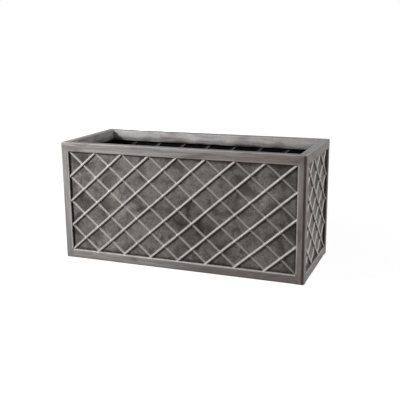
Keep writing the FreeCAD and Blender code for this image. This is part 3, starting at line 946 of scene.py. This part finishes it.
# Bosses: a dome over each crossing, circle by circle from its foot to its pole, slightly out of
# round; behind the panel the same turning shape makes its flattened tail
boss = {
    "radius": 4.8,
    "rise": riseOf("front_lattice_bosses"),
    "segments": 12,
    "levels": (0.0, 0.34, 0.62, 0.84),  # share of the way round from foot to pole
    "unround": 0.05,
    "tailRadii": (2.6, 2.2, 1.1),
    "tailLevels": (0.0, 0.6, 1.0),
    "tailRise": 0.8,
    "strip": 1.6,  # thickness of the strip behind the panel
    "rubbed": 0.55,
    "endRubbedAndLit": {"right": 2.1, "left": 0.55},
    "poleRub": 0.5,
    "flankPaintedLight": 0.75,
    "paintedLightWay": (-0.5, 0.87),  # along and up, towards the flank with a painted highlight; the opposite flank gets painted shade
}


def makeBosses(side):
    along, up = crossingsOf(side)
    count, segments = len(along), boss["segments"]
    around = np.linspace(0, 2 * math.pi, segments, endpoint=False)
    turns = np.array(boss["levels"])[:, None] * math.pi / 2
    phase = np.arange(count)[:, None, None]
    outOfRound = 1 + boss["unround"] * np.sin(2 * around + phase * 1.7)
    sideways = boss["radius"] * np.cos(turns) * outOfRound
    domeOut = np.broadcast_to(recess - boss["rise"] * np.sin(turns), sideways.shape)
    tailFoot = recess + panelThickness + boss["strip"]
    tails = np.array(boss["tailRadii"])[:, None] * np.ones(segments)
    tailOut = tailFoot + boss["tailRise"] * np.array(boss["tailLevels"])[:, None]
    tailSide = np.broadcast_to(tails, (count, *tails.shape))
    tailDeep = np.broadcast_to(tailOut, tailSide.shape)
    radii = np.concatenate([sideways, tailSide], axis=1)
    deep = np.concatenate([domeOut, tailDeep], axis=1)
    across = along[:, None, None] + radii * np.cos(around)
    upwards = up[:, None, None] + radii * np.sin(around)
    rings = onSide(side, across, deep, upwards)
    poles = onSide(side, along, recess - boss["rise"], up)[:, None]
    block = np.concatenate([rings.reshape(count, -1, 3), poles], axis=1)
    size = block.shape[1]
    domeRows, tailRows = len(boss["levels"]), len(boss["tailRadii"])
    top = np.arange((domeRows - 1) * segments, domeRows * segments)
    walls = np.concatenate([
        gridQuads(domeRows, segments, True),
        gridQuads(tailRows, segments, True, domeRows * segments)[:, ::-1],
    ])
    fan = np.stack([top, np.roll(top, -1), np.full(segments, size - 1)], axis=1)
    first = np.arange(segments)
    tailFirst = first + domeRows * segments
    tailLast = first + (domeRows + tailRows - 1) * segments
    caps = np.stack([first[::-1], tailFirst, tailLast[::-1]])
    starts = (np.arange(count) * size)[:, None, None]
    faces = []
    for group in (walls, fan, caps):
        faces += (group + starts).reshape(-1, group.shape[1]).tolist()
    # painted highlight on one flank and painted shade on the other, the right end brighter than the
    # left
    wayAlong, wayUp = boss["paintedLightWay"]
    towards = overLean(side) * wayAlong * np.cos(around) + wayUp * np.sin(around)
    base = boss["endRubbedAndLit"].get(side, boss["rubbed"])
    dome = base + boss["poleRub"] * np.sin(turns) + boss["flankPaintedLight"] * np.cos(turns) * towards
    crest = np.concatenate([dome.ravel(), np.zeros(tailRows * segments), [base + boss["poleRub"]]])
    wear = {"crest": np.tile(crest, count)}
    makePiece(side + "Bosses", block, faces, pewterBars, side + "_lattice_bosses", wear)


for side in sides:
    makeBars(side, "OverBars", "_over_bars", overBar)
    makeBars(side, "UnderBars", "_under_bars", underBar)
    makeBosses(side)
print("lattices made")


# Black resin of the hidden and inner pieces: satin, finely pebbled, with a little dust
resinFinish = {
    "black": (0.006, 0.006, 0.006),
    "dust": (0.026, 0.024, 0.021),
    "sprayAndGlint": (0.105, 0.100, 0.095),  # lighter paint on the strips' lower edges: overspray with a painted highlight
    "dustScale": 26,
    "pebble": 900,
    "roughness": (0.5, 0.75),
    "specular": 0.3,
}


def blackResin(name, dust, start, mark=None):
    look = resinFinish
    finish, tree, shader, where = newFinish(name, 0, look["specular"])
    drift = cloud(tree, where, look["dustScale"], 5, 0.62, 0.6)
    pebble = cloud(tree, where, look["pebble"], 2, 0.5)
    share = ranged(tree, drift, start, start + 0.26)
    if mark:
        share = reckon(tree, "MULTIPLY", share, ranged(tree, readMark(tree, mark), 0.35, 0.7))
    colour = tinted(tree, share, look["black"], look[dust])
    tree.links.new(colour, shader.inputs["Base Color"])
    tree.links.new(ranged(tree, drift, 0.35, 0.65, *look["roughness"]), shader.inputs["Roughness"])
    bumped(tree, shader, pebble, 0.25, 0.2)
    return finish


innerResin = blackResin("blackResin", "dust", 0.5)
stripResin = blackResin("greyedResin", "sprayAndGlint", 0.3, "lowerEdge")

# Backing strips: a flat section with eased edges, carried along the under bars' lines inside
strip = {"width": 8.0, "thickness": 1.6, "ease": 0.4, "step": 40}


def makeStrips(side):
    feet, step, _ = diagonals(side, -overLean(side))
    half, thick, ease = strip["width"] / 2, strip["thickness"], strip["ease"]
    offsets = np.array([half, half - ease, ease - half, -half, -half, half])
    backs = np.array([thick - ease, thick, thick, thick - ease, 0, 0])
    points, faces, edges = [], [], []
    start = 0
    for foot in feet:
        u, w, begin, end = clipLines(side, foot, step, offsets)
        rows = max(2, int((end - begin).max() / strip["step"]))
        t = begin + np.linspace(0, 1, rows)[:, None] * (end - begin)
        rings = onSide(side, u + t * step[0], recess + panelThickness + backs, w + t * step[1])
        points.append(rings.reshape(-1, 3))
        faces += [face[::-1] for face in sweptFaces(rings, start)]
        # the lower edge of each strip carries the lighter paint: overspray and painted highlight
        edges.append(np.tile(0.5 + 0.5 * offsets / half, rows))
        start += rings.shape[0] * rings.shape[1]
    wear = {"lowerEdge": np.concatenate(edges)}
    node = side + "_backing_strips"
    makePiece(side + "Strips", np.concatenate(points), faces, stripResin, node, wear)


for side in sides:
    makeStrips(side)
print("strips made")


# Zinc of the floor screws: bright plating with dull spots
zincFinish = {
    "bright": (0.52, 0.53, 0.55),
    "dull": (0.24, 0.235, 0.22),
    "scale": 380,
    "roughness": (0.26, 0.5),
}


def zincPlate():
    look = zincFinish
    finish, tree, shader, where = newFinish("zincPlate", 1, 0.5)
    spots = cloud(tree, where, look["scale"], 4, 0.6)
    colour = tinted(tree, ranged(tree, spots, 0.45, 0.7), look["bright"], look["dull"])
    tree.links.new(colour, shader.inputs["Base Color"])
    tree.links.new(ranged(tree, spots, 0.35, 0.7, *look["roughness"]), shader.inputs["Roughness"])
    bumped(tree, shader, spots, 0.2, 0.1)
    return finish


# Screws: a profile of radius and height turned about each screw's own axis; the head's top is
# sunk where the turning point lies within either arm of a cross
screw = {
    "headRadius": 4.0,
    "shankRadius": 2.0,
    "tipRadius": 1.2,
    "tipLength": 1.0,
    "length": 16.0,
    "middleShare": 0.04,  # of the head's radius, where its rings start
    "crossDepth": 1.4,
    "crossArm": 2.3,
    "crossHalf": 0.62,
    "segments": 48,
    "rings": 16,
}


def makeScrews():
    low, high = boxOf("floor_screws")
    bearers = [boxOf("floor_bearer_%d" % number) for number in (1, 2, 3)]
    columns = np.array([0.5 * (start[0] + end[0]) for start, end in bearers])
    rows = np.array([low[1] + screw["headRadius"], high[1] - screw["headRadius"]])
    centres = np.stack(np.meshgrid(columns, rows), axis=-1).reshape(-1, 2)
    head, shank, top = screw["headRadius"], screw["shankRadius"], high[2]
    around = np.linspace(0, 2 * math.pi, screw["segments"], endpoint=False)
    face = np.linspace(screw["middleShare"], 1, screw["rings"]) * head
    radii = np.concatenate([face, [shank, shank, screw["tipRadius"]]])[:, None]
    depths = [shank - head, screw["tipLength"] - screw["length"], -screw["length"]]
    levels = np.concatenate([np.zeros(len(face)), depths])[:, None]
    x, y = radii * np.cos(around), radii * np.sin(around)
    inArm = np.minimum(np.abs(x), np.abs(y)) < screw["crossHalf"]
    sunk = inArm & (radii < screw["crossArm"]) & (levels == 0)
    z = top + levels - screw["crossDepth"] * sunk
    rings = np.stack(np.broadcast_arrays(x, y, z), axis=-1)
    count, size = len(centres), rings.shape[0] * rings.shape[1]
    shifts = np.concatenate([centres, np.zeros((count, 1))], axis=1)
    block = rings.reshape(1, -1, 3) + shifts[:, None]
    shape = gridQuads(*rings.shape[:2], True)[:, ::-1]
    ring = np.arange(screw["segments"])
    caps = np.stack([ring, (ring + size - screw["segments"])[::-1]])
    starts = (np.arange(count) * size)[:, None, None]
    faces = (shape + starts).reshape(-1, 4).tolist()
    faces += (caps + starts).reshape(-1, screw["segments"]).tolist()
    makePiece("floorScrews", block, faces, zincPlate(), "floor_screws", {})


makeScrews()
print("screws made")

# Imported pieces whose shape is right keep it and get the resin
for name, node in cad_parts.items():
    if name.startswith("floor") and name != "floor_screws" or name.endswith("_corner_key"):
        for place in node.material_slots:
            place.material = innerResin
print("resin pieces finished")


# Stage: a white floor that keeps the object's shadow, and a white room for what the camera,
# reflections and clear pieces see
stage = {
    "floorSize": 12.0,
    "floorDrop": 0.0004,
    "floorColour": (0.16, 0.16, 0.16),
    "glow": (0.94, 1.0),  # near the trough and away from it
    "shade": (0.33, 0.13),  # half sizes of the ground that the trough covers
    "glowReach": (0.45, 1.1),
    "ambient": 0.07,
}


def seenDirectly(tree):
    rays = tree.nodes.new("ShaderNodeLightPath")
    seen = reckon(tree, "MAXIMUM", rays.outputs["Is Camera Ray"], rays.outputs["Is Glossy Ray"])
    return reckon(tree, "MAXIMUM", seen, rays.outputs["Is Transmission Ray"])


def makeStage():
    reach = stage["floorSize"] / 2
    corners = np.array([(-1, -1), (1, -1), (1, 1), (-1, 1)]) * reach
    mesh = bpy.data.meshes.new("studioFloor")
    mesh.from_pydata([(x, y, -stage["floorDrop"]) for x, y in corners], [], [(0, 1, 2, 3)])
    finish, tree, shader, where = newFinish("studioWhite", 0, 0)
    shader.inputs["Base Color"].default_value = (*stage["floorColour"], 1)
    shader.inputs["Roughness"].default_value = 1
    shader.inputs["Emission Color"].default_value = (1, 1, 1, 1)
    away = tree.nodes.new("ShaderNodeVectorMath")
    away.operation = "LENGTH"
    tree.links.new(where, away.inputs[0])
    glow = ranged(tree, away.outputs["Value"], *stage["glowReach"], *stage["glow"])
    split = tree.nodes.new("ShaderNodeSeparateXYZ")
    tree.links.new(where, split.inputs[0])
    sideways = [reckon(tree, "ABSOLUTE", split.outputs[n]) for n in (0, 1)]
    outside = [reckon(tree, "GREATER_THAN", gap, half) for gap, half in zip(sideways, stage["shade"])]
    glow = reckon(tree, "MULTIPLY", glow, reckon(tree, "MAXIMUM", *outside))
    strength = reckon(tree, "MULTIPLY", seenDirectly(tree), glow)
    tree.links.new(strength, shader.inputs["Emission Strength"])
    mesh.materials.append(finish)
    floor = placed("studioFloor", mesh)
    world = bpy.data.worlds.new("studioRoom")
    world.use_nodes = True
    sky = world.node_tree.nodes["Background"]
    sky.inputs["Color"].default_value = (1, 1, 1, 1)
    level = ranged(world.node_tree, seenDirectly(world.node_tree), 0, 1, stage["ambient"], 1)
    world.node_tree.links.new(level, sky.inputs["Strength"])
    bpy.context.scene.world = world


makeStage()

# Lamps: place, size and power; each faces the middle of the trough
lamps = {
    "key": {"spot": (-1.0, -1.05, 0.85), "size": 0.2, "power": 22},
    "fill": {"spot": (3.2, -1.0, 2.2), "size": 1.6, "power": 46},
    "back": {"spot": (-1.3, 2.5, 0.17), "size": 0.3, "power": 18},
}


def makeLamp(name, settings):
    data = bpy.data.lights.new(name, "AREA")
    data.energy = settings["power"]
    data.size = settings["size"]
    lamp = placed(name, data)
    spot = np.array(settings["spot"])
    aim = np.array([0, 0, height * mm / 2]) - spot
    lamp.location = spot
    tilt = math.atan2(aim[2], math.hypot(aim[0], aim[1]))
    heading = math.atan2(aim[1], aim[0])
    lamp.rotation_euler = (math.pi / 2 + tilt, 0, heading - math.pi / 2)


for name, settings in lamps.items():
    makeLamp(name, settings)

# Camera: where the photo was taken from, fitted to the trough's corners
camera = {
    "spot": (0.7025, -1.7637, 0.6270),
    "azimuth": 21.409,
    "elevation": 13.748,
    "roll": -0.551,
    "lens": 61.288,
    "sensor": 36,
}


def makeCamera():
    data = bpy.data.cameras.new("photoCamera")
    data.lens = camera["lens"]
    data.sensor_width = camera["sensor"]
    eye = placed("photoCamera", data)
    azimuth, elevation, roll = (math.radians(camera[key]) for key in ("azimuth", "elevation", "roll"))
    flat = math.cos(elevation)
    back = np.array([math.sin(azimuth) * flat, -math.cos(azimuth) * flat, math.sin(elevation)])
    level = np.array([math.cos(azimuth), math.sin(azimuth), 0])
    upright = np.cross(back, level)
    right = math.cos(roll) * level + math.sin(roll) * upright
    top = math.cos(roll) * upright - math.sin(roll) * level
    matrix = np.eye(4)
    matrix[:3] = np.stack([right, top, back, np.array(camera["spot"])], axis=1)
    eye.matrix_world = Matrix(matrix.tolist())
    bpy.context.scene.camera = eye


makeCamera()
bpy.context.scene.view_settings.view_transform = "Standard"
print("stage, lamps and camera set")
